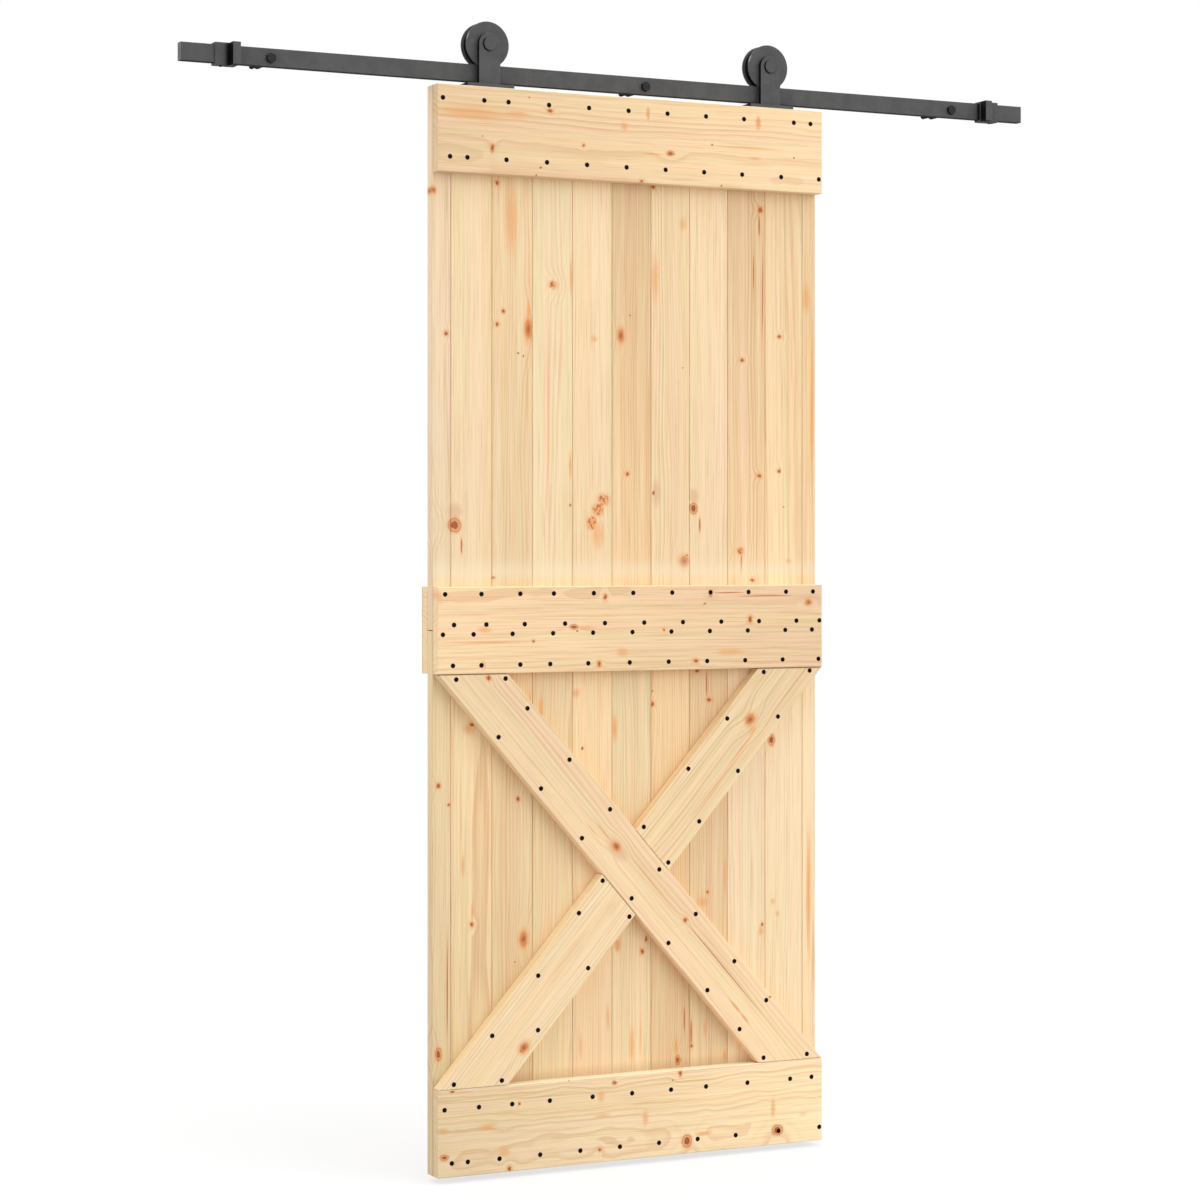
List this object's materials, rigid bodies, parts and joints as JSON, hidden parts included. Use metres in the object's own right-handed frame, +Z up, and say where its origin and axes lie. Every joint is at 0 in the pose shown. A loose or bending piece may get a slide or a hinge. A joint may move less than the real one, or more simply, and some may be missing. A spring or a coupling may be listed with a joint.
{
  "type": "sliding barn door",
  "caption": "Plank barn door with cross rails and an X brace, hung by strap hangers with grooved wheels that roll on a flat wall track between end stops.",
  "frame": {"origin": "on the wall's surface, on the axis of the middle wall bolt", "axes": "+X to the right along the track, +Y into the wall, +Z up; the viewer stands on the -Y side"},
  "size_m": [1.86, 0.1445, 2.23],
  "materials": {
    "pine_planks": "bare planed pine",
    "pine_boards": "bare planed pine",
    "dark_hardware": "matt dark grey powder coat",
    "black_screws": "black phosphate",
    "plain_steel": "plain steel"
  },
  "bodies": {
    "track": {"track_bar": "dark_hardware", "left_wall_spacer": "dark_hardware", "middle_wall_spacer": "dark_hardware", "right_wall_spacer": "dark_hardware", "left_wall_bolt": "dark_hardware", "middle_wall_bolt": "dark_hardware", "right_wall_bolt": "dark_hardware", "left_stop": "dark_hardware", "right_stop": "dark_hardware", "left_stop_screw": "black_screws", "right_stop_screw": "black_screws"},
    "door": {"upper_plank_01": "pine_planks", "upper_plank_02": "pine_planks", "upper_plank_03": "pine_planks", "upper_plank_04": "pine_planks", "upper_plank_05": "pine_planks", "upper_plank_06": "pine_planks", "upper_plank_07": "pine_planks", "upper_plank_08": "pine_planks", "upper_plank_09": "pine_planks", "upper_plank_10": "pine_planks", "upper_plank_11": "pine_planks", "lower_plank_01": "pine_planks", "lower_plank_02": "pine_planks", "lower_plank_03": "pine_planks", "lower_plank_04": "pine_planks", "lower_plank_05": "pine_planks", "lower_plank_06": "pine_planks", "lower_plank_07": "pine_planks", "lower_plank_08": "pine_planks", "lower_plank_09": "pine_planks", "lower_plank_10": "pine_planks", "lower_plank_11": "pine_planks", "top_rail": "pine_boards", "middle_rail_front": "pine_boards", "middle_rail_rear": "pine_boards", "bottom_rail": "pine_boards", "long_brace": "pine_boards", "lower_short_brace": "pine_boards", "upper_short_brace": "pine_boards", "top_rail_screws": "black_screws", "middle_rail_screws": "black_screws", "bottom_rail_screws": "black_screws", "brace_screws": "black_screws", "hanger_foot_screws": "black_screws", "left_hanger": "dark_hardware", "right_hanger": "dark_hardware", "left_axle_bolt": "dark_hardware", "right_axle_bolt": "dark_hardware", "left_axle_bushes": "plain_steel", "right_axle_bushes": "plain_steel", "left_axle_nut": "plain_steel", "right_axle_nut": "plain_steel"},
    "left_wheel_set": {"left_wheel": "dark_hardware", "left_bearing": "plain_steel"},
    "right_wheel_set": {"right_wheel": "dark_hardware", "right_bearing": "plain_steel"}
  },
  "joints": [
    {"name": "door_slide", "type": "slide", "parent": "track", "child": "door", "axis": [1, 0, 0], "range_m": [-0.4805, 0.4855]},
    {"name": "left_wheel_spin", "type": "hinge", "parent": "door", "child": "left_wheel_set", "pos_m": [-0.3455, -0.069, 0.0575], "axis": [0, 1, 0], "continuous": true},
    {"name": "right_wheel_spin", "type": "hinge", "parent": "door", "child": "right_wheel_set", "pos_m": [0.2775, -0.069, 0.0575], "axis": [0, 1, 0], "continuous": true}
  ],
  "couplings": [
    {"joint": "left_wheel_spin", "follows": "door_slide", "rad_per_m": 25.641},
    {"joint": "right_wheel_spin", "follows": "door_slide", "rad_per_m": 25.641}
  ]
}
